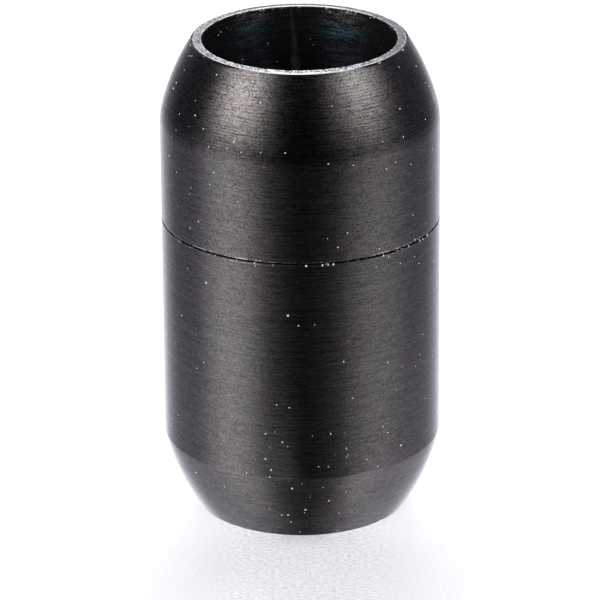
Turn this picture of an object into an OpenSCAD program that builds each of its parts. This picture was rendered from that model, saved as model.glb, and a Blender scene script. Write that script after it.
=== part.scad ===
// Magnetic clasp of barrel shape for a thick round cord. Two turned steel shells meet at a seam,
// and a disc magnet in each holds them together. All sizes are in millimetres. The origin is
// the centre of the foot, and +Z runs up the clasp's axis.

/* [Barrel] */
// Outside diameter of both halves
barrel_d = 11.6; // [11.2:0.1:14]
// Length of the lower half, from its foot to the seam
lower_length = 12.75; // [10.5:0.05:20]
// Length of the upper half that shows, from the seam to its rim
upper_length = 7.7; // [6:0.05:15]
// Gap that shows between the two closed halves
seam_gap = 0.05; // [0.02:0.01:0.2]

/* [Shoulders] */
// Outside diameter of the flat face at each end
rim_d = 8.9; // [8.7:0.1:10]
// Length of each end over which the barrel narrows to its flat face
shoulder_length = 3.2; // [2:0.1:4.5]
// Radius of the arc that each shoulder follows in a section through the axis
shoulder_r = 9.8; // [7:0.1:20]

/* [Cord holes] */
// Diameter of the blind hole in each end, into which the cord is glued
cord_hole_d = 8; // [5:0.1:8.3]
// Thickness of the web between a cord hole and the magnet behind it
web_t = 1; // [0.6:0.1:2]

/* [Magnets] */
// Diameter of each disc magnet
magnet_d = 7.2; // [5:0.1:7.6]
// Thickness of each disc magnet
magnet_t = 2; // [1:0.1:2.5]
// Bevel around both faces of a magnet
magnet_bevel = 0.15; // [0.05:0.05:0.3]
// Clearance around and behind a magnet in its pocket, which the glue fills
glue_gap = 0.05; // [0.02:0.01:0.1]
// Gap between the faces of the two magnets in the closed clasp
magnet_gap = 0.1; // [0.05:0.01:0.5]

/* [Spigot and socket] */
// How far the upper half's spigot reaches below its seam face
spigot_length = 2.4; // [1.5:0.1:3.5]
// Wall of the spigot around its magnet
spigot_wall = 0.6; // [0.4:0.05:0.9]
// Clearance between the spigot and the socket, on the radius
socket_gap = 0.1; // [0.05:0.01:0.2]
// Bevels on the spigot's end and the socket's mouth, which guide the halves together
lead_in = 0.25; // [0.1:0.05:0.35]

/* [Edges] */
// Bevel on the outer edges that meet at the seam
seam_bevel = 0.03; // [0.01:0.01:0.1]
// Width that the bevels take from the flat face at each end, on its outer and its inner edge
rim_bevel = 0.05; // [0.02:0.01:0.1]
// Angle between the flat face at each end and the bevel on its outer edge
rim_bevel_angle = 30; // [20:1:40]

/* [Hidden] */
$fn = 180;
// Overlap that carries a cut clear of the face that it starts from
cut = 1;

barrel_r = barrel_d / 2;
rim_r = rim_d / 2;
cord_hole_r = cord_hole_d / 2;
magnet_r = magnet_d / 2;
pocket_r = magnet_r + glue_gap;
spigot_r = pocket_r + spigot_wall;
socket_r = spigot_r + socket_gap;

// Heights above the foot, from the seam outwards
upper_seam_z = lower_length + seam_gap;
rim_z = upper_seam_z + upper_length;
spigot_z = upper_seam_z - spigot_length;
upper_pocket_z = spigot_z + magnet_t + glue_gap;
upper_hole_depth = rim_z - upper_pocket_z - web_t;
socket_z = spigot_z - magnet_gap;
lower_pocket_z = socket_z - magnet_t - glue_gap;
lower_hole_depth = lower_pocket_z - web_t;

// The shoulder's arc passes through both ends of this chord, and its centre is across the axis
chord = [barrel_r - rim_r, shoulder_length];
chord_middle = [rim_r, 0] + chord / 2;
chord_normal = [-chord.y, chord.x] / norm(chord);
arc_centre = chord_middle + chord_normal * sqrt(pow(shoulder_r, 2) - pow(norm(chord) / 2, 2));

// Height at which the cone of an end's outer bevel would reach the barrel's side
bevel_rise = (barrel_r - rim_r + rim_bevel) * tan(rim_bevel_angle);

// Section of one half's solid blank, with its end face on z = 0 and its seam face at length
module blank_section(length) {
    intersection() {
        polygon([
            [0, 0],
            [rim_r - rim_bevel, 0],
            [barrel_r, bevel_rise],
            [barrel_r, length - seam_bevel],
            [barrel_r - seam_bevel, length],
            [0, length],
        ]);
        union() {
            translate(arc_centre) circle(shoulder_r);
            translate([0, arc_centre.y]) square([barrel_d, length]);
        }
    }
}

// Section of a hole of radius r that opens on z = 0, with a bevel around its mouth
module hole_section(r, depth, bevel) {
    polygon([
        [0, -cut],
        [r + bevel + cut, -cut],
        [r, bevel],
        [r, depth],
        [0, depth],
    ]);
}

// Section of the spigot, from its end up into the upper half
module spigot_section() {
    polygon([
        [0, spigot_z],
        [spigot_r - lead_in, spigot_z],
        [spigot_r, spigot_z + lead_in],
        [spigot_r, upper_seam_z + cut],
        [0, upper_seam_z + cut],
    ]);
}

module lower_shell() {
    color("#3a383b")
    rotate_extrude()
    difference() {
        blank_section(lower_length);
        hole_section(cord_hole_r, lower_hole_depth, rim_bevel);
        translate([0, lower_length])
        mirror([0, 1])
        hole_section(socket_r, lower_length - socket_z, lead_in);
        translate([0, lower_pocket_z])
        square([pocket_r, socket_z - lower_pocket_z + cut]);
    }
}

module upper_shell() {
    color("#343235")
    rotate_extrude()
    difference() {
        union() {
            translate([0, rim_z])
            mirror([0, 1])
            blank_section(upper_length);
            spigot_section();
        }
        translate([0, rim_z])
        mirror([0, 1])
        hole_section(cord_hole_r, upper_hole_depth, rim_bevel);
        translate([0, spigot_z - cut])
        square([pocket_r, upper_pocket_z - spigot_z + cut]);
    }
}

// One disc magnet with its lower face on z = 0
module magnet() {
    color("#c9c8c4")
    rotate_extrude()
    polygon([
        [0, 0],
        [magnet_r - magnet_bevel, 0],
        [magnet_r, magnet_bevel],
        [magnet_r, magnet_t - magnet_bevel],
        [magnet_r - magnet_bevel, magnet_t],
        [0, magnet_t],
    ]);
}

module lower_magnet() {
    translate([0, 0, socket_z - magnet_t])
    magnet();
}

module upper_magnet() {
    translate([0, 0, spigot_z])
    magnet();
}

lower_shell();
upper_shell();
lower_magnet();
upper_magnet();
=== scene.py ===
import math
import random

import bpy
from mathutils import Matrix, Vector


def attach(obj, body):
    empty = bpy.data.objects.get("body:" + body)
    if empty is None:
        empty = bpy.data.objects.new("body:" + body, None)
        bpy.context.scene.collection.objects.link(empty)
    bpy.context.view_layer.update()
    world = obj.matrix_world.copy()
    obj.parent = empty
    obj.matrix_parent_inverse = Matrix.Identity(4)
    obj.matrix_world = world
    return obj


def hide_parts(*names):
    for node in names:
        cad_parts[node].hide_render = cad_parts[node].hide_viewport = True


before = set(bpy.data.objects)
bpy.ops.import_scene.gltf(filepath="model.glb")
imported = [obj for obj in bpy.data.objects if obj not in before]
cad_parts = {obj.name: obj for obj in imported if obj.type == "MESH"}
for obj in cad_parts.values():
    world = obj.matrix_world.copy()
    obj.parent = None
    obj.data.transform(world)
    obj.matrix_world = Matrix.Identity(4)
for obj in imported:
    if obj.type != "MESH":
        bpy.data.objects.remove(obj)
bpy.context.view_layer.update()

# Sizes in millimetres, in the part's own frame: the axis is Z and the foot stands on z = 0.
MM = 0.001
BARREL_R = 5.8
RIM_R = 4.45
CORD_R = 4.0
POCKET_R = 3.65
SPIGOT_R = 4.25
SOCKET_R = 4.35
RIM_Z = 20.5
UPPER_HOLE_Z = 13.45
UPPER_SEAM_Z = 12.8
LOWER_SEAM_Z = 12.75
UPPER_POCKET_Z = 12.45
SPIGOT_Z = 10.4
SOCKET_Z = 10.3
LOWER_POCKET_Z = 8.25
LOWER_HOLE_Z = 7.25
SHOULDER_LENGTH = 3.2
SHOULDER_R = 9.8
SEAM_BEVEL = 0.03
RIM_BEVEL = 0.05
RIM_BEVEL_ANGLE = 30
LEAD_IN = 0.25


# Materials

# What the metals share. An edge's wear value above zero gives worn metal with a painted highlight over a
# range, and below zero a painted shade over a range; no tone falls under a least share. The groove under the
# rim takes painted shade in front and at the sides, in millimetres from the middle.
WORN_AND_HIGHLIT = (0.3, 0.8)
PAINTED_SHADE_RANGE = (-0.8, -0.2)
LEAST_TONE = 0.1
GROOVE_SHADE_FRONT = (1.2, 1.9)
GROOVE_SHADE_SIDES = (2.5, 3.0)
LEAST_GROOVE_SHADE = 0.2
DUST = (0.97, 0.96, 0.94)
BLACK = (0.0, 0.0, 0.0)
# Spots that break up worn edges and their painted highlights
EDGE_MARK_SPOTS = {"size": 0.16, "shift": 33.0}

# Turned lines have a pitch across the turning and a reach along it, grain has a size, and specks have the
# spacing of the balls that they are cut from and a radius, all in millimetres. A shift moves a pattern, so
# that no two of one material agree.
LINE_ROUGHNESS = 0.6
GRAIN_ROUGHNESS = 0.5
SPECK_CORE = 0.75
SPECK_SHIFT = (1.0, 1.7, 2.3)
QUARTER_TURN = 0.25


def colour(value):
    """A colour with its alpha, from three numbers."""
    return (*value, 1.0)


class Nodes:
    """Short calls that add nodes to one shader tree."""

    def __init__(self, tree):
        tree.nodes.clear()
        self.tree = tree

    def feed(self, socket, value):
        if isinstance(value, bpy.types.NodeSocket):
            self.tree.links.new(value, socket)
        else:
            socket.default_value = colour(value) if socket.type == "RGBA" else value

    def feed_all(self, sockets, values):
        for socket, value in zip(sockets, values):
            self.feed(socket, value)

    def new(self, kind, settings=(), **inputs):
        node = self.tree.nodes.new("ShaderNode" + kind)
        for key, value in dict(settings).items():
            setattr(node, key, value)
        for key, value in inputs.items():
            self.feed(node.inputs[key.replace("_", " ")], value)
        return node

    def math(self, operation, *values):
        node = self.new("Math", {"operation": operation})
        self.feed_all(node.inputs, values)
        return node.outputs[0]

    def chain(self, operation, first, others):
        for other in others:
            first = self.math(operation, first, other)
        return first

    def add(self, first, *others):
        return self.chain("ADD", first, others)

    def less(self, first, second):
        return self.math("SUBTRACT", first, second)

    def times(self, first, *others):
        return self.chain("MULTIPLY", first, others)

    def most(self, first, *others):
        return self.chain("MAXIMUM", first, others)

    def absolute(self, value):
        return self.math("ABSOLUTE", value)

    def radius(self, x, y):
        return self.math("SQRT", self.add(self.times(x, x), self.times(y, y)))

    def azimuth(self, x, y):
        """Degrees round from the camera's side, positive to the right."""
        return self.math("DEGREES", self.math("ARCTAN2", x, self.times(y, -1.0)))

    def ramp(self, value, low, high, start=0.0, end=1.0, kind="SMOOTHSTEP"):
        """start below low, end above high, and a smooth step in between."""
        node = self.new("MapRange", {"interpolation_type": kind})
        self.feed_all(node.inputs, (value, low, high, start, end))
        return node.outputs[0]

    def even(self, value, low, high, start=0.0, end=1.0):
        """As ramp, but straight in between."""
        return self.ramp(value, low, high, start, end, "LINEAR")

    def spread(self, noise, half, start, end):
        """start to end, as noise goes from half under its middle to half over it."""
        return self.even(noise, 0.5 - half, 0.5 + half, start, end)

    def swing(self, noise, half, share):
        """Minus share to share, as noise goes from half under its middle to half over it."""
        return self.spread(noise, half, -share, share)

    def bands(self, value, stops):
        """A colour that goes through stops, each a place from 0 to 1 and a colour."""
        node = self.new("ValToRGB")
        node.color_ramp.interpolation = "EASE"
        elements = node.color_ramp.elements
        while len(elements) < len(stops):
            elements.new(0.5)
        for element, (place, tone) in zip(elements, stops):
            element.position = place
            element.color = colour(tone)
        self.feed(node.inputs[0], value)
        return node.outputs[0]

    def by_degrees(self, value, reach, stops):
        """A level that goes through stops, each degrees and a level, from -reach to reach."""
        shares = [((degrees + reach) / (2 * reach), (level,) * 3) for degrees, level in stops]
        return self.bands(self.even(value, -reach, reach), shares)

    def mix(self, share, first, second, blend="MIX"):
        node = self.new("Mix", {"data_type": "RGBA", "blend_type": blend})
        self.feed(node.inputs[0], share)
        self.feed(node.inputs[6], first)
        self.feed(node.inputs[7], second)
        return node.outputs[2]

    def product(self, first, *others):
        """Colours times each other."""
        for other in others:
            first = self.mix(1.0, first, other, "MULTIPLY")
        return first

    def cover(self, base, *layers):
        """base under layers, each a share and a colour."""
        for share, tone in layers:
            base = self.mix(share, base, tone)
        return base

    def vector(self, x, y, z):
        node = self.new("CombineXYZ")
        self.feed_all(node.inputs, (x, y, z))
        return node.outputs[0]

    def grey(self, level):
        return self.vector(level, level, level)

    def coordinates(self, kind):
        return self.new("SeparateXYZ", Vector=self.new("TexCoord").outputs[kind]).outputs


class Turned(Nodes):
    """A shader tree for a turned surface: places in millimetres and turned lines."""

    def __init__(self, name):
        self.material = bpy.data.materials.new(name)
        self.material.use_nodes = True
        super().__init__(self.material.node_tree)
        place = self.new("TexCoord").outputs["Object"]
        self.place = self.new("VectorMath", {"operation": "SCALE"}, Vector=place, Scale=1 / MM).outputs[0]
        self.x, self.y, self.z = self.new("SeparateXYZ", Vector=self.place).outputs
        self.r = self.radius(self.x, self.y)
        self.wear_and_painted_light = self.new("Attribute", {"attribute_name": "wear_and_painted_light"}).outputs["Fac"]

    def noise(self, place, level, scale, detail, roughness):
        node = self.new("TexNoise", {"noise_dimensions": "4D"}, Vector=place, W=level, Scale=scale,
                        Detail=detail, Roughness=roughness)
        return node.outputs["Fac"]

    def lines(self, pitch, reach, shift, detail=2.0):
        """Noise drawn out along the turning: pitch across the lines and reach along them."""
        along, across = 1 / reach, 1 / pitch
        spot = self.vector(self.times(self.x, along), self.times(self.y, along), self.times(self.z, across))
        level = self.math("MULTIPLY_ADD", self.r, across, shift)
        return self.noise(spot, level, 1.0, detail, LINE_ROUGHNESS)

    def grain(self, size, shift, detail=2.0, place=None):
        return self.noise(place or self.place, shift, 1 / size, detail, GRAIN_ROUGHNESS)

    def specks(self, spacing, radius, shift, place=None):
        """Round specks of up to that radius, where the surface cuts random balls."""
        moved = self.new("VectorMath", {"operation": "ADD"}, Vector=place or self.place)
        moved.inputs[1].default_value = [shift * share for share in SPECK_SHIFT]
        balls = self.new("TexVoronoi", {"feature": "F1"}, Vector=moved.outputs[0], Scale=1 / spacing)
        off = self.times(balls.outputs["Distance"], spacing)
        return self.ramp(off, radius * SPECK_CORE, radius, 1.0, 0.0)

    # Painted shade, where the wear value falls below zero
    def painted_shade(self):
        return self.ramp(self.wear_and_painted_light, *PAINTED_SHADE_RANGE, 1.0, 0.0)

    def groove_shade(self):
        """Painted shade in the groove under the rim: dark in front and at the sides, not where the boxes
        shine.
        """
        wide = self.absolute(self.x)
        front = self.ramp(wide, *GROOVE_SHADE_FRONT, 1.0, LEAST_GROOVE_SHADE)
        return self.most(front, self.ramp(wide, *GROOVE_SHADE_SIDES, LEAST_GROOVE_SHADE, 1.0))

    def finish(self, base, roughness, height, depth, metallic=1.0, anisotropic=0.0):
        """Ends the tree with a metal whose relief is depth deep, in millimetres."""
        bump = self.new("Bump", Height=height, Distance=depth * MM, Strength=1.0).outputs[0]
        tangent = self.new("Tangent", {"direction_type": "RADIAL", "axis": "Z"}).outputs[0]
        self.shader = self.new("BsdfPrincipled", Base_Color=base, Metallic=metallic, Roughness=roughness,
                               Normal=bump, Tangent=tangent)
        self.shader.inputs["Anisotropic"].default_value = anisotropic
        self.shader.inputs["Anisotropic Rotation"].default_value = QUARTER_TURN
        self.shader.inputs["IOR"].default_value = 1.5
        self.new("OutputMaterial", Surface=self.shader.outputs[0])
        return self.material


# The black plating: its patterns and its colours

PLATING_FINE = {"pitch": 0.07, "reach": 0.5, "shift": 3.0}
PLATING_BROAD = {"pitch": 0.25, "reach": 7.0, "shift": 9.0, "detail": 3.0}
PLATING_GRAIN = {"size": 0.052, "shift": 2.0, "detail": 1.0}
PLATING_PATCH = {"size": 1.2, "shift": 5.0, "detail": 3.0}
SCRATCHES = {"pitch": 0.1, "reach": 2.4, "shift": 21.0}
RUBBED_SPOTS = {"size": 0.12, "shift": 31.0}
RUBBED_AREAS = {"size": 1.6, "shift": 35.0}
DUST_FINE = {"spacing": 0.55, "radius": 0.034, "shift": 0.0}
DUST_COARSE = {"spacing": 1.5, "radius": 0.055, "shift": 11.0}
PLATING_TINTS = [
    (0.36, (0.135, 0.1215, 0.124)),
    (0.48, (0.129, 0.122, 0.119)),
    (0.60, (0.122, 0.1225, 0.1155)),
]
SCRATCH_COLOUR = (0.26, 0.25, 0.255)
SCRATCH_SHARE = 0.35
# The colour of worn edges, with a painted highlight on them
WORN_AND_HIGHLIT_COLOUR = (0.72, 0.71, 0.7)
SCUFF_COLOUR = (0.33, 0.325, 0.32)
# The painted shade's colour, along the seam and under the rim
PAINTED_SHADE_COLOUR = (0.012, 0.012, 0.013)

# The heights at which its tone changes, in millimetres: up is from the middle, the others are from the foot
KINK_UP = RIM_Z / 2 - SHOULDER_LENGTH
KINK_BLEND = 0.25
UP_TO_SHOULDERS = (KINK_UP - KINK_BLEND, KINK_UP + KINK_BLEND)
ABOVE_FOOT = (2.9, 3.4)
ABOVE_SEAM = (12.7, 12.8)

# The tool's lines on the shoulders, along a cone of the shoulders' mean tilt
SHOULDER_TILT = math.radians(23)
TURNED_PITCH = 0.133
TURNED_STRAY = 9.0
STRAY_LINES = {"pitch": 0.5, "reach": 1.5, "shift": 27.0}
BROKEN_LINES = {"pitch": 0.12, "reach": 0.3, "shift": 29.0}

# The scuff on the upper shoulder. Its middle wanders between two angles and its sides fade, in degrees,
# and it fades at its bottom and top, in millimetres.
SCUFF_WANDER = {"size": 0.5, "shift": 45.0}
SCUFF_SPOTS = {"size": 0.15, "shift": 37.0}
SCUFF_MIDDLE = (83.0, 80.0)
SCUFF_SIDES = (0.5, 2.0)
SCUFF_BOTTOM = (17.5, 18.1)
SCUFF_TOP = (18.3, 18.9)

# The seam's bevel, whose painted shade is paler on the left, and the edge under the rim, whose painted shade
# is paler where the boxes shine, in millimetres
BEVEL_BOTTOM = (LOWER_SEAM_Z - 1.0, LOWER_SEAM_Z - 0.5)
BEVEL_TOP = (LOWER_SEAM_Z - 0.012, LOWER_SEAM_Z - 0.004)
PALE_LEFT = (-0.8, 1.4)
UNDER_RIM = (19.5, 20.0)

# The dust that settled on the upper left, the cluster of it low in front, and the lint in the seam,
# in millimetres
DUST_SETTLED = {"spacing": 0.42, "radius": 0.042, "shift": 17.0}
SETTLED_SIDE = (-1.6, -0.8)
SETTLED_BOTTOM = (16.5, 18.0)
DUST_CLUSTER = {"spacing": 0.42, "radius": 0.047, "shift": 23.0}
CLUSTER_FADED = {"size": 0.7, "shift": 39.0}
CLUSTER_X = 0.1
CLUSTER_SIDES = (1.3, 2.2)
CLUSTER_FRONT = (-3.0, -2.5)
CLUSTER_TOP = (5.8, 7.0)
LINT = {"spacing": 0.155, "radius": 0.043, "shift": 5.0}
LINT_SIDE = (-1.4, 0.6)
LINT_R = (BARREL_R - 0.1, BARREL_R - 0.06)
LINT_BOTTOM = (LOWER_SEAM_Z - 0.085, LOWER_SEAM_Z - 0.065)
LINT_TOP = (LOWER_SEAM_Z + 0.02, LOWER_SEAM_Z + 0.03)


def plating_tone(t, fine, broad, grain):
    """How light the plating is by its grain and lines, and by the tool's lines on the shoulders."""
    up = t.absolute(t.less(t.z, RIM_Z / 2))
    foot = t.ramp(t.z, *ABOVE_FOOT, 0.75, 1.0)
    along = t.less(t.times(up, math.cos(SHOULDER_TILT)), t.times(t.r, math.sin(SHOULDER_TILT)))
    phase = t.add(t.times(along, 2 * math.pi / TURNED_PITCH), t.times(t.lines(**STRAY_LINES), TURNED_STRAY))
    turned = t.times(t.math("SINE", phase), t.ramp(t.lines(**BROKEN_LINES), 0.4, 0.6, 0.0, 0.3))
    tone = t.add(
        t.times(t.swing(grain, 0.3, 0.92), t.ramp(up, *UP_TO_SHOULDERS, 0.78, 0.95),
                t.ramp(t.z, *ABOVE_SEAM, 0.8, 1.0), foot),
        1.0,
        t.times(turned, t.ramp(up, *UP_TO_SHOULDERS, 0.1, 1.0), foot),
        t.times(t.swing(fine, 0.3, 0.9), t.ramp(up, *UP_TO_SHOULDERS, 0.36, 0.5), foot),
        t.swing(broad, 0.2, 0.07),
    )
    return t.most(tone, LEAST_TONE)


def plating_scuff(t):
    """The share of the one scuff, on the right of the upper shoulder."""
    middle = t.spread(t.grain(**SCUFF_WANDER), 0.2, *SCUFF_MIDDLE)
    off = t.absolute(t.less(t.azimuth(t.x, t.y), middle))
    return t.times(
        t.ramp(off, *SCUFF_SIDES, 1.0, 0.0),
        t.ramp(t.z, *SCUFF_BOTTOM),
        t.ramp(t.z, *SCUFF_TOP, 1.0, 0.0),
        t.ramp(t.grain(**SCUFF_SPOTS), 0.35, 0.5, 0.2, 1.0),
    )


def plating_painted_shade(t):
    """The share of the painted shade along the seam and under the rim."""
    at_seam = t.times(t.ramp(t.z, *BEVEL_TOP, 1.0, 0.0), t.ramp(t.x, *PALE_LEFT, 0.55, 0.0),
                      t.ramp(t.z, *BEVEL_BOTTOM))
    at_rim = t.times(t.ramp(t.z, *UNDER_RIM), t.ramp(t.groove_shade(), LEAST_GROOVE_SHADE, 1.0, 0.7, 0.0))
    return t.times(t.painted_shade(), t.less(1.0, t.most(at_seam, at_rim)))


def plating_dust(t):
    """The share of the dust and the lint."""
    lint = t.times(
        t.specks(**LINT, place=t.vector(t.x, t.y, 0.0)),
        t.ramp(t.x, *LINT_SIDE, 0.25, 1.0),
        t.ramp(t.r, *LINT_R),
        t.ramp(t.z, *LINT_BOTTOM),
        t.ramp(t.z, *LINT_TOP, 1.0, 0.0),
    )
    settled = t.times(
        t.specks(**DUST_SETTLED),
        t.ramp(t.x, *SETTLED_SIDE, 1.0, 0.0),
        t.ramp(t.z, *SETTLED_BOTTOM),
    )
    cluster = t.times(
        t.specks(**DUST_CLUSTER),
        t.ramp(t.absolute(t.less(t.x, CLUSTER_X)), *CLUSTER_SIDES, 1.0, 0.0),
        t.ramp(t.y, *CLUSTER_FRONT, 1.0, 0.0),
        t.ramp(t.z, *CLUSTER_TOP, 1.0, 0.0),
        t.ramp(t.grain(**CLUSTER_FADED), 0.42, 0.56, 0.2, 1.0),
    )
    return t.most(t.specks(**DUST_FINE), t.specks(**DUST_COARSE), lint, settled, cluster)


def black_plating():
    """The black plating over turned steel, with fine lines, faint tints, rubbed edges with painted
    highlights, painted shade along the seam and under the rim, and dust.
    """
    t = Turned("black_plating")
    fine, broad, grain = t.lines(**PLATING_FINE), t.lines(**PLATING_BROAD), t.grain(**PLATING_GRAIN)
    metal = t.bands(t.grain(**PLATING_PATCH), PLATING_TINTS)
    rubbed_and_lit = t.times(t.ramp(t.grain(**RUBBED_SPOTS), 0.42, 0.56), t.ramp(t.grain(**RUBBED_AREAS), 0.4, 0.52))
    # Edges that are worn and carry a painted highlight, in rubbed spots
    wear_and_highlight = t.times(t.ramp(t.wear_and_painted_light, *WORN_AND_HIGHLIT), rubbed_and_lit)
    painted_shade, dust = plating_painted_shade(t), plating_dust(t)
    base = t.cover(
        t.product(metal, t.grey(plating_tone(t, fine, broad, grain))),
        (t.times(t.ramp(t.lines(**SCRATCHES), 0.68, 0.74), SCRATCH_SHARE), SCRATCH_COLOUR),
        (wear_and_highlight, WORN_AND_HIGHLIT_COLOUR),
        (plating_scuff(t), SCUFF_COLOUR),
        # painted shade along the seam and under the rim
        (painted_shade, PAINTED_SHADE_COLOUR),
        (dust, DUST),
    )
    rough = t.add(t.spread(fine, 0.25, 0.23, 0.28), t.times(wear_and_highlight, -0.05), t.times(painted_shade, 0.3))
    rough = t.most(rough, t.times(dust, 0.9))
    height = t.add(t.times(fine, 0.5), t.times(grain, 0.25), t.times(broad, 0.8), t.times(dust, 2.0))
    return t.finish(base, rough, height, 0.012, t.less(1.0, dust), anisotropic=0.4)


# The rim: its patterns, its colours from left to right, which are its rubbed tone with painted light across
# it, and its places in millimetres

RIM_FINE = {"pitch": 0.04, "reach": 0.5, "shift": 4.0}
RIM_GRAIN = {"size": 0.075, "shift": 7.0, "detail": 1.0}
RIM_PATCH = {"size": 0.3, "shift": 14.0, "detail": 3.0}
RIM_DRAWN = 0.4
# The rubbed tone with painted light across the rim: lightest in the middle, darker at the left, darkest at
# the right
RIM_RUBBED_AND_LIT_TINTS = [
    (0.02, (0.150, 0.146, 0.150)),
    (0.18, (0.255, 0.250, 0.254)),
    (0.5, (0.390, 0.385, 0.387)),
    (0.8, (0.205, 0.200, 0.204)),
    (0.95, (0.065, 0.062, 0.066)),
]
# A painted highlight's colour: the rubbed tone made brighter, with a sheen added
RIM_SHINE = (2.6, 2.6, 2.6)
RIM_SHEEN = (0.12, 0.12, 0.12)
# Painted highlights on the far inner edge and the front of the outer bevel, and painted shade on the rest of
# the bevel
FAR_EDGE_HIGHLIGHT = (0.55, 0.54, 0.54)
FRONT_BEVEL_HIGHLIGHT = (0.5, 0.49, 0.48)
BACK_BEVEL_SHADE = (0.01, 0.01, 0.01)
# Painted shade in the groove at the rim's outer edge
GROOVE_SHADE_COLOUR = (0.003, 0.003, 0.003)
# Where the bevel turns from painted highlight to painted shade, and where the back takes painted shade
BEHIND_FRONT = (-3.95, -3.5)
DARKER_BACK = (1.2, 2.8)
FAR_BACK = (3.2, 4.0)
INNER_EDGE_R = (RIM_R - 0.29, RIM_R - 0.24)
BRIGHT_LINE_R = (RIM_R - 0.12, RIM_R - 0.09)
BEVEL_R = (RIM_R - 1.2 * RIM_BEVEL, RIM_R - 0.9 * RIM_BEVEL)
GROOVE_R = (RIM_R - 0.002, RIM_R + 0.01)


def rim_face():
    """The flat ring at each end: the plating is rubbed lighter, with scratches all ways, and has painted
    light across it: lightest in the middle, painted shade at the right and the back, and painted highlights
    on its edges.
    """
    t = Turned("rubbed_and_lit_rim")
    drawn = t.vector(t.x, t.times(t.y, RIM_DRAWN), t.z)
    fine = t.lines(**RIM_FINE)
    grain, patch = t.grain(**RIM_GRAIN, place=drawn), t.grain(**RIM_PATCH, place=drawn)
    tone = t.add(t.spread(fine, 0.25, 0.8, 1.2), t.swing(grain, 0.25, 1.7), t.swing(patch, 0.2, 0.15))
    rubbed_and_lit = t.bands(t.even(t.x, -RIM_R, RIM_R), RIM_RUBBED_AND_LIT_TINTS)
    # a painted highlight's colour
    painted_highlight = t.mix(1.0, t.product(rubbed_and_lit, RIM_SHINE), RIM_SHEEN, "ADD")

    # Painted shade over the back, a painted highlight on the far inner edge, a painted highlight line near
    # the outer edge that is brighter in front, and the bevel's painted highlight in front with painted shade
    # behind
    far = t.ramp(t.y, *FAR_BACK)
    line = t.times(t.ramp(t.r, *BRIGHT_LINE_R), t.ramp(t.y, -0.5, 1.5, 1.0, 0.5))
    bevel = t.ramp(t.r, *BEVEL_R)
    bevel_highlight_and_shade = t.mix(t.ramp(t.y, *BEHIND_FRONT), FRONT_BEVEL_HIGHLIGHT, BACK_BEVEL_SHADE)
    # Worn edges with a painted highlight, in spots
    wear_and_highlight = t.times(t.ramp(t.wear_and_painted_light, *WORN_AND_HIGHLIT), t.ramp(t.grain(**EDGE_MARK_SPOTS, place=drawn), 0.4, 0.5))
    base = t.cover(
        t.product(rubbed_and_lit, t.grey(t.most(tone, LEAST_TONE))),
        # painted shade over the back, then painted highlights on the far inner edge, the line and the bevel
        (t.add(t.ramp(t.y, *DARKER_BACK, 0.0, 0.3), t.times(far, 0.6)), BLACK),
        (t.times(far, t.ramp(t.r, *INNER_EDGE_R, 1.0, 0.0)), FAR_EDGE_HIGHLIGHT),
        (t.times(line, t.ramp(grain, 0.35, 0.55, 0.3, 1.0)), painted_highlight),
        (bevel, bevel_highlight_and_shade),
        # painted shade in the groove at the rim's outer edge, less where the boxes shine
        (t.times(t.ramp(t.r, *GROOVE_R), t.groove_shade()), GROOVE_SHADE_COLOUR),
        (wear_and_highlight, painted_highlight),
    )
    rough = t.most(t.spread(patch, 0.2, 0.24, 0.31), t.times(bevel, t.ramp(t.y, -1.0, 0.5), 0.6))
    height = t.add(t.times(fine, 0.5), t.times(grain, 0.6))
    return t.finish(base, rough, height, 0.004, anisotropic=0.3)


# The cord hole's wall: its patterns and colours. The tints' places are shares of a depth in millimetres; the
# tints are the thin plating's colours near the mouth, with painted shade that darkens them down the hole.

BORE_FINE = {"pitch": 0.07, "reach": 0.9, "shift": 6.0}
BORE_BROAD = {"pitch": 0.2, "reach": 4.0, "shift": 13.0, "detail": 3.0}
BORE_GRAIN = {"size": 0.07, "shift": 17.0, "detail": 1.0}
BORE_PATCH = {"size": 0.9, "shift": 23.0}
BORE_DUST_FINE = {"spacing": 0.45, "radius": 0.034, "shift": 4.0}
BORE_DUST_COARSE = {"spacing": 1.3, "radius": 0.05, "shift": 13.0}
TINTS_WANDER = {"size": 1.1, "shift": 3.0}
TINTS_DEPTH = 4.0
# The thin plating's colours near the mouth, with painted shade that darkens them deeper down
BORE_TINTS_AND_DEPTH_SHADE = [
    (0.02, (0.056, 0.047, 0.053)),
    (0.12, (0.056, 0.053, 0.055)),
    (0.20, (0.031, 0.059, 0.065)),
    (0.28, (0.018, 0.042, 0.059)),
    (0.37, (0.016, 0.019, 0.033)),
    (0.55, (0.018, 0.0165, 0.023)),
]
# The worn mouth edge's colour, with a painted highlight
BORE_WORN_AND_HIGHLIT_COLOUR = (0.8, 0.79, 0.78)
# The painted shade's colour, just inside the cord hole's mouth
BORE_PAINTED_SHADE_COLOUR = (0.006, 0.006, 0.006)
STREAK_COLOUR = (0.056, 0.050, 0.046)
STREAK_WANDER = {"size": 0.6, "shift": 43.0}
STREAK_SPOTS = {"size": 0.4, "shift": 41.0}
WALL_R = (CORD_R - 0.2, CORD_R - 0.1)


def bore_streak(t, depth, share):
    """The share of the brownish streak down the far wall, narrow at the mouth and wider below."""
    turn = t.math("DEGREES", t.math("ARCTAN2", t.x, t.y))
    middle = t.add(t.ramp(depth, 0.2, 2.6, 4.6, 2.6), t.swing(t.grain(**STREAK_WANDER), 0.2, 0.7))
    off = t.math("DIVIDE", t.absolute(t.add(turn, middle)), t.ramp(depth, 0.4, 3.2, 1.3, 4.2))
    return t.times(
        t.ramp(off, 0.3, 1.0, share, 0.0),
        t.ramp(t.grain(**STREAK_SPOTS), 0.3, 0.6, 0.3, 1.0),
        t.ramp(t.r, *WALL_R),
    )


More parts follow.
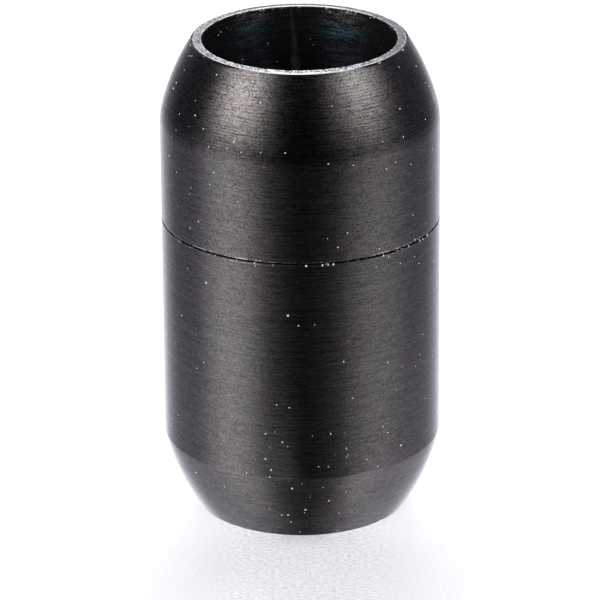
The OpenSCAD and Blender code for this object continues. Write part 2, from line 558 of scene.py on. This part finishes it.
def bore_wall(name, mouth_z, into, streak_share):
    """The cord hole's wall: darker, with ring lines, the colours of thin plating near the mouth, painted
    shade that deepens down the hole, a worn mouth edge with a painted highlight, and painted shade just
    inside it.
    """
    t = Turned(name)
    depth = t.times(t.less(t.z, mouth_z), into)
    fine, broad, grain = t.lines(**BORE_FINE), t.lines(**BORE_BROAD), t.grain(**BORE_GRAIN)
    layer = t.add(depth, t.swing(t.grain(**TINTS_WANDER), 0.2, 0.25))
    # the thin plating's colours, with painted shade deeper down the hole
    film_and_depth_shade = t.bands(t.math("DIVIDE", layer, TINTS_DEPTH), BORE_TINTS_AND_DEPTH_SHADE)
    tone = t.add(t.spread(fine, 0.25, -0.7, 2.6), t.swing(broad, 0.2, 0.6), t.swing(grain, 0.25, 1.6))
    tone = t.times(t.most(tone, LEAST_TONE), t.ramp(t.grain(**BORE_PATCH), 0.36, 0.64, 0.65, 1.3))
    streak = bore_streak(t, depth, streak_share)
    dust = t.most(t.specks(**BORE_DUST_FINE), t.specks(**BORE_DUST_COARSE))
    base = t.cover(
        t.product(film_and_depth_shade, t.grey(tone)),
        # worn mouth edge with a painted highlight
        (t.times(t.ramp(t.wear_and_painted_light, 0.8, 1.0), t.ramp(t.grain(**EDGE_MARK_SPOTS), 0.36, 0.5)), BORE_WORN_AND_HIGHLIT_COLOUR),
        # painted shade just inside the mouth
        (t.painted_shade(), BORE_PAINTED_SHADE_COLOUR),
        # a brownish streak, lighter further down
        (streak, t.product(STREAK_COLOUR, t.grey(t.even(depth, 0.3, 3.0, 0.6, 2.0)))),
        (dust, DUST),
    )
    dull = t.most(t.times(streak, 0.8), dust)
    rough = t.most(t.spread(fine, 0.25, 0.3, 0.38), dull)
    height = t.add(fine, t.times(broad, 1.5), t.times(grain, 0.4))
    material = t.finish(base, rough, height, 0.006, t.less(1.0, dull), anisotropic=0.9)
    t.shader.inputs["Specular Tint"].default_value = colour(BLACK)
    t.shader.inputs["Coat Weight"].default_value = 0.5
    t.shader.inputs["Coat Roughness"].default_value = 0.75
    return material


# The magnets' nickel: its patterns and colours

NICKEL_GRAIN = {"size": 0.16, "shift": 8.0, "detail": 3.0}
NICKEL_RINGS = {"pitch": 0.09, "reach": 2.0, "shift": 19.0}
NICKEL_PATCH = {"size": 1.5, "shift": 25.0}
NICKEL_COLOUR = (0.66, 0.64, 0.60)
NICKEL_RUBBED_COLOUR = (0.78, 0.77, 0.75)


def magnet_nickel():
    """Nickel plating over a pressed magnet, with a faint grain and rubbed rings."""
    t = Turned("magnet_nickel")
    grain, rings, patch = t.grain(**NICKEL_GRAIN), t.lines(**NICKEL_RINGS), t.grain(**NICKEL_PATCH)
    tone = t.add(t.spread(grain, 0.2, 0.93, 1.05), t.swing(patch, 0.2, 0.07))
    rub = t.ramp(rings, 0.62, 0.7)
    base = t.cover(t.product(NICKEL_COLOUR, t.grey(tone)), (t.times(rub, 0.35), NICKEL_RUBBED_COLOUR))
    rough = t.add(t.spread(patch, 0.2, 0.2, 0.32), t.times(rub, 0.1))
    return t.finish(base, rough, t.add(grain, t.times(rings, 0.3)), 0.004)


# The two shells, each one turned profile: its radii and reaches in millimetres, and how finely it is made

SEGMENTS = 640
SHOULDER_STEPS = 22
EDGE_R = 0.012
INNER_R = 0.03
HOLE_CORNER_R = 0.1
KINK_R = 0.5
KINK_EASE = 0.4
EASE_STEPS = 6
ROUNDING_SHARE = 0.45
SHARP_TURN = math.radians(40)
SHARP_STEPS = 4
GENTLE_STEPS = 3
SUPPORT = 0.02
# How an edge's wear value, with its painted highlight and painted shade, spreads beside a rounding: where it
# ends, and its share at the support row
EDGE_MARK_REACH = 0.2
EDGE_MARK_BESIDE = 0.6
DENT_REACH = 0.08
DENT_SHINE = 2.5
ON_AXIS = 1e-6


def vec(r, z):
    return Vector((r, z))


def shoulder(end_z, way):
    """The shoulder's arc from the barrel to the end; way is 1 for the rim and -1 for the foot."""
    chord = vec(BARREL_R - RIM_R, SHOULDER_LENGTH)
    middle = vec(RIM_R, 0) + chord / 2
    normal = vec(-chord.y, chord.x).normalized()
    centre = middle + normal * math.sqrt(SHOULDER_R**2 - (chord.length / 2) ** 2)
    low = math.atan2(0 - centre.y, RIM_R - centre.x)
    high = math.atan2(SHOULDER_LENGTH - centre.y, BARREL_R - centre.x)
    out = []
    for step in range(SHOULDER_STEPS + 1):
        angle = high + (low - high) * step / SHOULDER_STEPS
        rise = centre.y + SHOULDER_R * math.sin(angle)
        out.append(vec(centre.x + SHOULDER_R * math.cos(angle), end_z - way * rise))
    return out


def eased_kink(arc, way):
    """The arc with its first part blended into the barrel over KINK_EASE on each side of the kink."""
    kink_z = arc[0].y
    slope = (BARREL_R - arc[1].x) / abs(arc[1].y - kink_z)
    out = []
    for step in range(EASE_STEPS):
        ahead = KINK_EASE * (step / EASE_STEPS - 1)
        drop = slope * (ahead + KINK_EASE) ** 2 / (4 * KINK_EASE)
        out.append(vec(BARREL_R - drop, kink_z + way * ahead))
    for point in arc:
        ahead = abs(point.y - kink_z)
        drop = slope * ((ahead + KINK_EASE) ** 2 / (4 * KINK_EASE) - ahead) if ahead < KINK_EASE else 0.0
        out.append(vec(point.x - drop, point.y))
    return out


def bevel_meets(points, end_z, way):
    """Cuts the shoulder's arc where the rim's outer bevel meets it."""
    corner = vec(RIM_R - RIM_BEVEL, end_z)
    slope = math.tan(math.radians(RIM_BEVEL_ANGLE))

    def over(point):
        """How far point is past the bevel."""
        return way * (point.y - (corner.y - way * (point.x - corner.x) * slope))

    kept = []
    for point in points:
        if kept and over(point) > 0:
            before = over(kept[-1])
            kept.append(kept[-1].lerp(point, before / (before - over(point))))
            break
        kept.append(point)
    return kept


def rounded(corners):
    """Rows of (point, face kind, wear) from corners of (point, radius, face kind after it, wear); a wear
    value above zero is worn metal with a painted highlight, and below zero a painted shade.
    """
    rows = []
    for index, (here, radius, kind, wear_and_painted_light) in enumerate(corners):
        if not radius:
            rows.append((here, kind, wear_and_painted_light))
            continue
        before, after = corners[index - 1][0], corners[index + 1][0]
        kind_before = corners[index - 1][2]
        back, on = (before - here).normalized(), (after - here).normalized()
        half = back.angle(on) / 2
        most = ROUNDING_SHARE * min((before - here).length, (after - here).length)
        reach = min(radius / math.tan(half), most)
        centre = here + (back + on).normalized() * (reach * math.tan(half) / math.sin(half))
        start, end = here + back * reach, here + on * reach
        room = (before - start).length
        if room > 5 * SUPPORT:
            rows.append((start + back * min(EDGE_MARK_REACH, ROUNDING_SHARE * room), kind_before, 0.0))
        if room > 3 * SUPPORT:
            rows.append((start + back * SUPPORT, kind_before, wear_and_painted_light * EDGE_MARK_BESIDE))
        first = start - centre
        turn = first.angle_signed(end - centre)
        steps = SHARP_STEPS if abs(turn) > SHARP_TURN else GENTLE_STEPS
        for step in range(steps + 1):
            cos, sin = math.cos(-turn * step / steps), math.sin(-turn * step / steps)
            spoke = vec(first.x * cos - first.y * sin, first.x * sin + first.y * cos)
            rows.append((centre + spoke, kind_before if step < steps / 2 else kind, wear_and_painted_light))
        room = (after - end).length
        if room > 3 * SUPPORT:
            rows.append((end + on * SUPPORT, kind, wear_and_painted_light * EDGE_MARK_BESIDE))
        if room > 5 * SUPPORT:
            rows.append((end + on * min(EDGE_MARK_REACH, ROUNDING_SHARE * room), kind, 0.0))
    return rows


def end_corners(end_z, way, hole_z, eased):
    """Corners from the shoulder's kink over the rim, down the cord hole to its flat bottom."""
    arc = bevel_meets(shoulder(end_z, way), end_z, way)
    if eased:
        arc = eased_kink(arc, way)
    return [
        (arc[0], 0 if eased else KINK_R, "skin", 0.0),
        *((point, 0, "skin", 0.0) for point in arc[1:-1]),
        (arc[-1], EDGE_R, "rim", -0.8),
        (vec(RIM_R - RIM_BEVEL, end_z), EDGE_R, "rim", 0.0),
        (vec(CORD_R + RIM_BEVEL, end_z), EDGE_R, "bore", 1.0),
        (vec(CORD_R, end_z - way * RIM_BEVEL), EDGE_R, "bore", -0.9),
        (vec(CORD_R, hole_z), HOLE_CORNER_R, "bore", 0.0),
        (vec(0, hole_z), 0, "bore", 0.0),
    ]


def upper_profile():
    return rounded([
        (vec(0, UPPER_POCKET_Z), 0, "skin", 0.0),
        (vec(POCKET_R, UPPER_POCKET_Z), INNER_R, "skin", 0.0),
        (vec(POCKET_R, SPIGOT_Z), EDGE_R, "skin", 0.3),
        (vec(SPIGOT_R - LEAD_IN, SPIGOT_Z), EDGE_R, "skin", 0.5),
        (vec(SPIGOT_R, SPIGOT_Z + LEAD_IN), EDGE_R, "skin", 0.5),
        (vec(SPIGOT_R, UPPER_SEAM_Z), INNER_R, "skin", 0.0),
        (vec(BARREL_R - SEAM_BEVEL, UPPER_SEAM_Z), EDGE_R, "skin", -0.9),
        (vec(BARREL_R, UPPER_SEAM_Z + SEAM_BEVEL), EDGE_R, "skin", 0.8),
        *end_corners(RIM_Z, 1, UPPER_HOLE_Z, True),
    ])


def lower_profile():
    return rounded([
        (vec(0, LOWER_POCKET_Z), 0, "skin", 0.0),
        (vec(POCKET_R, LOWER_POCKET_Z), INNER_R, "skin", 0.0),
        (vec(POCKET_R, SOCKET_Z), EDGE_R, "skin", 0.3),
        (vec(SOCKET_R, SOCKET_Z), INNER_R, "skin", 0.0),
        (vec(SOCKET_R, LOWER_SEAM_Z - LEAD_IN), EDGE_R, "skin", 0.4),
        (vec(SOCKET_R + LEAD_IN, LOWER_SEAM_Z), EDGE_R, "skin", 0.5),
        (vec(BARREL_R - SEAM_BEVEL, LOWER_SEAM_Z), EDGE_R, "skin", -0.9),
        (vec(BARREL_R, LOWER_SEAM_Z - SEAM_BEVEL), EDGE_R, "skin", -0.6),
        (vec(BARREL_R, LOWER_SEAM_Z - 2 * SEAM_BEVEL), 0, "skin", 0.65),
        (vec(BARREL_R, LOWER_SEAM_Z - 4 * SEAM_BEVEL), 0, "skin", 0.0),
        *end_corners(0, -1, LOWER_HOLE_Z, False),
    ])


def nicks(seed, count, edge, widths, depths, push):
    """Small dents round an edge, given as its radius and height, that go in along push."""
    draw = random.Random(seed)
    return [
        {
            "angle": draw.uniform(0, 2 * math.pi),
            "width": draw.uniform(*widths),
            "depth": draw.uniform(*depths),
            "edge": edge,
            "push": push,
        }
        for _ in range(count)
    ]


def from_edge(point, dent):
    """How far point is from the dent's edge, across and along the axis together."""
    r, z = dent["edge"]
    return abs(point.x - r) + abs(point.y - z)


def dented(point, wear_and_painted_light, angle, dents):
    """The radius, height and wear value, with its painted highlight, at that angle, where dents push point
    in.
    """
    r, z = point
    for dent in dents:
        gap = (angle - dent["angle"] + math.pi) % (2 * math.pi) - math.pi
        share = max(0.0, 1 - (gap * dent["edge"][0] / dent["width"]) ** 2) ** 2
        if share == 0:
            continue
        close = 1 - from_edge(point, dent) / DENT_REACH
        r += dent["push"][0] * dent["depth"] * share * close
        z += dent["push"][1] * dent["depth"] * share * close
        wear_and_painted_light = max(wear_and_painted_light, share * min(1.0, DENT_SHINE * close))
    return r, z, wear_and_painted_light


def turned_rings(profile, dents):
    """Places, wear values with their painted light, and rings of their numbers; a point on the axis is a ring
    of one.
    """
    verts, wear_and_light_values, rings = [], [], []
    for point, _, wear_and_painted_light in profile:
        if point.x < ON_AXIS:
            rings.append([len(verts)])
            verts.append((0, 0, point.y * MM))
            wear_and_light_values.append(0.0)
            continue
        rings.append(range(len(verts), len(verts) + SEGMENTS))
        near = [dent for dent in dents if from_edge(point, dent) < DENT_REACH]
        for step in range(SEGMENTS):
            angle = 2 * math.pi * step / SEGMENTS
            r, z, wear_and_highlight = dented(point, wear_and_painted_light, angle, near)
            verts.append((r * math.cos(angle) * MM, r * math.sin(angle) * MM, z * MM))
            wear_and_light_values.append(wear_and_highlight)
    return verts, wear_and_light_values, rings


def faces_between(low, high):
    """The faces from one ring to the next, a fan where one of them is a point."""
    for step in range(SEGMENTS):
        following = (step + 1) % SEGMENTS
        if len(low) == 1:
            yield low[0], high[following], high[step]
        elif len(high) == 1:
            yield low[step], low[following], high[0]
        else:
            yield low[step], low[following], high[following], high[step]


def lathe(name, body, node, profile, dents, materials):
    """Turns profile about Z, dents its edges, and lets the piece stand for node."""
    verts, wear_and_light_values, rings = turned_rings(profile, dents)
    kinds = list(materials)
    faces, slots = [], []
    for (_, kind, _), low, high in zip(profile, rings, rings[1:]):
        faces += faces_between(low, high)
        slots += [kinds.index(kind)] * SEGMENTS
    mesh = bpy.data.meshes.new(name)
    mesh.from_pydata(verts, [], faces)
    for material in materials.values():
        mesh.materials.append(material)
    mesh.polygons.foreach_set("material_index", slots)
    mesh.polygons.foreach_set("use_smooth", [True] * len(faces))
    mesh.attributes.new("wear_and_painted_light", "FLOAT", "POINT").data.foreach_set("value", wear_and_light_values)
    mesh.update()
    piece = bpy.data.objects.new(name, mesh)
    bpy.context.scene.collection.objects.link(piece)
    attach(piece, body)
    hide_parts(node)


skin, rim = black_plating(), rim_face()
upper_bore = bore_wall("upper_bore_wall", RIM_Z, -1, 0.8)
lower_bore = bore_wall("lower_bore_wall", 0, 1, 0.3)
mouth_edge = (CORD_R + RIM_BEVEL / 2, RIM_Z - RIM_BEVEL / 2)
upper_dents = (
    nicks(5, 64, mouth_edge, (0.03, 0.1), (0.03, 0.07), (0.8, -0.5))
    + nicks(8, 18, (RIM_R, RIM_Z - 0.03), (0.06, 0.2), (0.01, 0.03), (-0.6, -0.5))
    + nicks(9, 12, (BARREL_R, UPPER_SEAM_Z), (0.04, 0.1), (0.01, 0.02), (-0.5, 0.6))
)
lower_dents = (
    nicks(12, 34, (BARREL_R, LOWER_SEAM_Z), (0.03, 0.07), (0.015, 0.03), (-0.5, -0.6))
    + nicks(15, 18, (RIM_R, 0.03), (0.06, 0.2), (0.01, 0.03), (-0.6, 0.5))
)
lathe("upper_half_shell", "upper_half", "upper_shell", upper_profile(), upper_dents,
      {"skin": skin, "rim": rim, "bore": upper_bore})
lathe("lower_half_shell", "lower_half", "lower_shell", lower_profile(), lower_dents,
      {"skin": skin, "rim": rim, "bore": lower_bore})

nickel = magnet_nickel()
for name in ("lower_magnet", "upper_magnet"):
    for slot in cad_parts[name].material_slots:
        slot.material = nickel


# Floor

WHITE = (1.0, 1.0, 1.0)
FLOOR_SIDE = 1.5
FLOOR_Z = -0.000002
FLOOR_COLOUR = (0.12, 0.12, 0.125)
FLOOR_LIGHT = (0.985, 0.98, 1.03)
FLOOR_STRENGTH = 0.645
FIBRES_ACROSS = 6000.0
FIBRES_ALONG = 8000.0

# Where the paper's fibres fade, its painted light round the foot and its painted contact shadow in front of
# the foot change, in millimetres from the axis and in degrees to either side
FIBRES_FADE = (2.4, 4.2)
BOUNCE_AWAY = (4.8, 8.5)
BOUNCE_ROUND = (18.0, 46.0)
HALO_AWAY = (5.0, 11.5)
CONTACT_SHADE_AWAY = (4.6, 5.7)
CONTACT_SHADE_ROUND = (7.0, 18.0)

# A sheet that only the metal's reflections see, for the paper close by: where its painted glow and its
# painted shade change, in metres and in degrees
GLOW_SIDE = 0.06
GLOW_LIGHT = (1.0, 1.0, 1.06)
GLOW_STRENGTH = 0.15
LEFT_GLOW_STRENGTH = 0.3
LEFT_GLOW_AZIMUTH = -13.0
SIDE_GLOW_AWAY = (0.006, 0.038)
SIDE_GLOW_ROUND = (50.0, 90.0)
FOOT_GLOW_AWAY = (0.005, 0.0066)
FOOT_GLOW_ROUND = (19.0, 32.0)
LEFT_GLOW_STARTS = (0.0075, 0.0108)
LEFT_GLOW_ENDS = (0.0125, 0.018)
LEFT_GLOW_ROUND = (3.0, 12.0)
TOUCHING_SHADE_AWAY = (0.0047, 0.0051)
AROUND_SHADE_AWAY = (0.0068, 0.0105)

# The share of the studio that the metal mirrors through the floor, by azimuth: round the foot and touching it
AROUND_FOOT = [
    (-28, 1.0), (-17, 0.86), (-12, 0.8), (-8, 0.86), (0, 1.0), (8, 0.66), (16, 0.56), (23, 0.7), (31, 1.0),
]
TOUCHING_FOOT = [(-19, 1.0), (-11, 0.6), (-4, 0.46), (9, 0.42), (13.5, 0.58), (20, 1.0)]


def level_sheet(name, side, z, material_name):
    """A level square that reaches side each way from the axis, and its material."""
    mesh = bpy.data.meshes.new(name)
    corners = [(x * side, y * side, z) for x, y in ((-1, -1), (1, -1), (1, 1), (-1, 1))]
    mesh.from_pydata(corners, [], [(0, 1, 2, 3)])
    material = bpy.data.materials.new(material_name)
    material.use_nodes = True
    mesh.materials.append(material)
    sheet = bpy.data.objects.new(name, mesh)
    bpy.context.scene.collection.objects.link(sheet)
    return sheet, material


def add_floor():
    """Pale paper that lights itself a little, with painted light round the foot, more at its sides, and a
    painted contact shadow in front of it, and is clear from below.
    """
    floor, paper = level_sheet("floor", FLOOR_SIDE, FLOOR_Z, "floor_paper")
    floor.visible_glossy = False
    n = Nodes(paper.node_tree)
    x, y, z = n.coordinates("Object")
    threads = n.vector(n.times(x, FIBRES_ACROSS), n.times(y, FIBRES_ALONG), z)
    fibres = n.new("TexNoise", Vector=threads, Scale=1.0, Detail=2.0).outputs["Fac"]
    x_mm, y_mm = n.times(x, 1 / MM), n.times(y, 1 / MM)
    contrast = n.ramp(n.absolute(x_mm), *FIBRES_FADE, 0.22, 0.07)
    tone = n.grey(n.add(n.times(n.swing(fibres, 0.25, 1.0), contrast), 1.0))
    away = n.radius(x_mm, y_mm)
    front = n.absolute(n.azimuth(x, y))
    # painted light round the foot, more at its sides, and a painted contact shadow in front of it
    bounce = n.add(
        n.times(n.ramp(away, *BOUNCE_AWAY, 1.0, 0.0), n.ramp(front, *BOUNCE_ROUND, 0.0, 0.15)),
        n.ramp(away, *HALO_AWAY, 0.1, 0.0),
    )
    contact_shade = n.times(n.ramp(away, *CONTACT_SHADE_AWAY, 1.0, 0.0), n.ramp(front, *CONTACT_SHADE_ROUND, -0.2, 0.0))
    sheet = n.new(
        "BsdfPrincipled", Roughness=0.5,
        Base_Color=n.product(FLOOR_COLOUR, tone),
        Emission_Color=n.product(FLOOR_LIGHT, tone),
        Emission_Strength=n.times(n.add(bounce, contact_shade, 1.0), FLOOR_STRENGTH),
    )
    sheet.inputs["Specular IOR Level"].default_value = 1.0
    both = n.new("MixShader")
    below = n.new("NewGeometry").outputs["Backfacing"]
    n.feed_all(both.inputs, (below, sheet.outputs[0], n.new("BsdfTransparent").outputs[0]))
    n.new("OutputMaterial", Surface=both.outputs[0])


def add_floor_glow():
    """A sheet that only the metal's reflections see, for the paper close by: its painted shade dims the
    studio behind it, and its painted glow shines a little.
    """
    glow, shine = level_sheet("floor_glow", GLOW_SIDE, FLOOR_Z / 2, "floor_glow")
    glow.visible_camera = glow.visible_diffuse = glow.visible_shadow = glow.visible_transmission = False
    shine.cycles.emission_sampling = "NONE"
    n = Nodes(shine.node_tree)
    x, y, _ = n.coordinates("Object")
    away = n.radius(x, y)
    angle = n.azimuth(x, y)
    front = n.absolute(angle)
    level = n.add(
        n.times(n.ramp(away, *SIDE_GLOW_AWAY, GLOW_STRENGTH, 0.0), n.ramp(front, *SIDE_GLOW_ROUND)),
        n.times(n.ramp(away, *FOOT_GLOW_AWAY, GLOW_STRENGTH, 0.0), n.ramp(front, *FOOT_GLOW_ROUND)),
        n.times(
            n.ramp(away, *LEFT_GLOW_STARTS, 0.0, LEFT_GLOW_STRENGTH),
            n.ramp(away, *LEFT_GLOW_ENDS, 1.0, 0.0),
            n.ramp(n.absolute(n.less(angle, LEFT_GLOW_AZIMUTH)), *LEFT_GLOW_ROUND, 1.0, 0.0),
        ),
    )
    around, touching = (n.by_degrees(angle, 180, stops) for stops in (AROUND_FOOT, TOUCHING_FOOT))
    shade = n.mix(n.ramp(away, *TOUCHING_SHADE_AWAY, 1.0, 0.0), around, touching)
    shade = n.mix(n.ramp(away, *AROUND_SHADE_AWAY), shade, WHITE)
    clear = n.new("BsdfTransparent", Color=shade)
    lit = n.new("Emission", Color=GLOW_LIGHT, Strength=level)
    both = n.new("AddShader")
    n.feed_all(both.inputs, (clear.outputs[0], lit.outputs[0]))
    n.new("OutputMaterial", Surface=both.outputs[0])


add_floor()
add_floor_glow()


# Light

# The studio around the part. Each light's level is the product of a tint, a box and the levels that it goes
# through by azimuth, by the azimuth to either side and by height, all in degrees. Azimuth 0 is the camera's
# side and positive is to the right. A box is a middle, half a width and the width of its soft edge.
STUDIO = {
    "left_low": {
        "tint": (1.0, 0.96, 0.985),
        "box": (-62, 20, 36),
        "height": [(-60, 0.2), (-28, 1.3), (-20, 1.42), (-8, 0.8), (2, 0.0)],
    },
    "left_tail": {
        "tint": WHITE,
        "box": (-34, 17, 24),
        "height": [
            (-46, 0.0), (-30, 0.22), (-25, 0.20), (-24, 0.14), (-22.5, 0.07), (-20.7, 0.035), (-14, 0.015),
            (-6, 0.0),
        ],
    },
    "left_box": {
        "tint": (1.0, 0.96, 0.975),
        "azimuth": [
            (-97, 0.0), (-90, 0.04), (-83, 0.22), (-76, 0.55), (-67, 0.92), (-58, 1.0), (-50, 0.83),
            (-42, 0.52), (-35, 0.26), (-29, 0.12), (-25, 0.08), (-21.5, 0.0),
        ],
        "height": [(-9, 0.0), (2, 0.65), (12, 2.3), (22, 4.1), (32, 4.4), (48, 2.6), (70, 0.8)],
    },
    "left_wing": {
        "tint": WHITE,
        "azimuth": [(-108, 0.0), (-98, 0.04), (-90, 0.1), (-80, 0.12), (-70, 0.0)],
        "height": [(22, 0.0), (31, 3.6), (40, 4.0), (60, 2.0)],
    },
    "right_low": {
        "tint": (1.0, 0.96, 0.975),
        "box": (66.5, 21.5, 38),
        "height": [(-60, 0.2), (-28, 0.53), (-20, 0.6), (-8, 0.32), (2, 0.0)],
    },
    "right_box": {
        "tint": (1.0, 0.96, 0.975),
        "azimuth": [
            (19, 0.0), (26, 0.05), (36, 0.165), (46, 0.47), (56, 0.9), (64, 1.08), (72, 0.9), (82, 0.46),
            (90, 0.21), (98, 0.05), (106, 0.0),
        ],
        "height": [(-9, 0.0), (4, 0.36), (14, 1.0), (24, 2.6), (34, 3.4), (50, 2.2), (70, 0.7)],
    },
    "right_wall": {
        "tint": (0.97, 1.0, 1.3),
        "azimuth": [(88, 0.0), (104, 1.0), (132, 1.0), (148, 0.0)],
        "height": [(-16, 0.0), (-6, 0.03), (5, 0.045), (14, 0.065), (28, 0.0)],
    },
    "table_edge": {
        "tint": (1.0, 0.985, 1.07),
        "side": [
            (0, 0.10), (14, 0.14), (30, 0.31), (42, 0.70), (56, 1.0), (80, 0.9), (104, 0.62), (122, 0.52),
            (142, 0.4), (165, 0.8),
        ],
        "azimuth": [
            (-165, 0.84), (-145, 0.9), (-125, 1.12), (-108, 1.28), (-97, 1.18), (-84, 0.92), (-70, 0.86),
            (0, 1.0), (70, 0.95), (84, 0.84), (102, 1.15), (118, 1.4), (130, 1.35), (142, 0.75),
            (154, 0.38), (171, 0.3),
        ],
        "height": [
            (-88, 0.28), (-76, 0.52), (-70, 0.66), (-64, 0.84), (-56, 1.08), (-45, 1.0), (-36, 0.85),
            (-30, 0.55), (-24, 0.25), (-20, 0.08), (-10, 0.0),
        ],
    },
    "walls": {
        "tint": (0.97, 1.0, 1.32),
        "side": [(0, 0.0), (35, 0.02), (80, 0.12), (104, 0.16), (130, 0.18), (150, 0.155)],
        "height": [(-46, 0.8), (-30, 1.5), (-17, 1.05), (-8, 0.5), (0, 0.31), (40, 0.36), (70, 2.5)],
    },
    "backdrop": {
        "tint": (1.0, 1.0, 1.04),
        "side": [(127, 0.0), (146, 0.42), (162, 1.0)],
        "height": [
            (-50, 0.35), (-35, 0.85), (-25, 1.15), (-17, 1.15), (-9, 0.5), (-1, 0.24), (8, 0.28),
            (15, 1.15), (19, 1.75), (50, 1.75), (80, 1.2),
        ],
    },
}
OVERHEAD_HEIGHT = (58, 78)
OVERHEAD_LEVEL = 1.1
PAPER_WHITE = (1.05, 1.05, 1.05)

# The lamps behind the part, each an azimuth in degrees and a share of the watts
LAMPS = {-143: 1.0, 143: 1.0, 180: 0.8}
LAMP_DISTANCE = 0.4
LAMP_ELEVATION = math.radians(40)
LAMP_SIZE = (0.3, 0.15)
LAMP_WATTS = 1.95


def soft_box(n, azimuth, middle, half, edge):
    """A soft box's share by azimuth."""
    off = n.absolute(n.less(azimuth, middle))
    return n.grey(n.ramp(off, half - edge / 2, half + edge / 2, 1.0, 0.0))


def add_studio():
    """The studio as the part and the floor see it, and plain white as the camera does."""
    world = bpy.data.worlds.new("studio")
    bpy.context.scene.world = world
    world.use_nodes = True
    n = Nodes(world.node_tree)
    x, y, z = n.coordinates("Generated")
    azimuth = n.azimuth(x, y)
    height = n.math("DEGREES", n.math("ARCSINE", z))
    degrees = {"side": (n.absolute(azimuth), 180), "azimuth": (azimuth, 180), "height": (height, 90)}
    surround = n.grey(n.times(n.ramp(height, *OVERHEAD_HEIGHT, 0.0, OVERHEAD_LEVEL), n.ramp(y, -0.12, 0.1)))
    for light in STUDIO.values():
        level = light["tint"]
        if "box" in light:
            level = n.product(level, soft_box(n, azimuth, *light["box"]))
        for way, (value, reach) in degrees.items():
            if way in light:
                level = n.product(level, n.by_degrees(value, reach, light[way]))
        surround = n.mix(1.0, surround, level, "ADD")
    seen = n.new("LightPath").outputs["Is Camera Ray"]
    background = n.new("Background", Color=n.mix(seen, surround, PAPER_WHITE), Strength=1.0)
    n.new("OutputWorld", Surface=background.outputs[0])


def add_back_lamp(azimuth, share):
    """A lamp behind the part, turned to its foot, which the metal doesn't mirror."""
    level = math.cos(LAMP_ELEVATION)
    way = Vector((math.sin(azimuth) * level, -math.cos(azimuth) * level, math.sin(LAMP_ELEVATION)))
    light = bpy.data.lights.new("back_lamp", "AREA")
    light.shape = "RECTANGLE"
    light.size, light.size_y = LAMP_SIZE
    light.energy = LAMP_WATTS * share
    lamp = bpy.data.objects.new("back_lamp", light)
    bpy.context.scene.collection.objects.link(lamp)
    turned = way.to_track_quat("Z", "Y").to_matrix().to_4x4()
    lamp.matrix_world = Matrix.Translation(way * LAMP_DISTANCE) @ turned
    lamp.visible_glossy = lamp.visible_camera = False


add_studio()
for lamp_azimuth, share in LAMPS.items():
    add_back_lamp(math.radians(lamp_azimuth), share)
bpy.context.scene.view_settings.view_transform = "Standard"


# Camera, at the photograph's angle above the floor

CAMERA_DISTANCE = 0.199549
CAMERA_ELEVATION = math.radians(21.8747)
CAMERA_LENS = 285.604
CAMERA_SENSOR = 36
CAMERA_CLIP = (0.01, 10)
CAMERA_ROLL = math.radians(0.4056)
AIM_BELOW = math.radians(0.3717)
AIM_LEFT = math.radians(0.0127)
AIM_POINT = Vector((0, 0, 0.01025))

data = bpy.data.cameras.new("camera")
data.lens = CAMERA_LENS
data.sensor_width = CAMERA_SENSOR
data.clip_start, data.clip_end = CAMERA_CLIP
camera = bpy.data.objects.new("camera", data)
bpy.context.scene.collection.objects.link(camera)
back = Vector((0, -math.cos(CAMERA_ELEVATION), math.sin(CAMERA_ELEVATION)))
turn = (
    Matrix.Rotation(math.pi / 2 - CAMERA_ELEVATION, 4, "X")
    @ Matrix.Rotation(-CAMERA_ROLL, 4, "Z")
    @ Matrix.Rotation(-AIM_BELOW, 4, "X")
    @ Matrix.Rotation(AIM_LEFT, 4, "Y")
)
camera.matrix_world = Matrix.Translation(AIM_POINT + back * CAMERA_DISTANCE) @ turn
bpy.context.scene.camera = camera
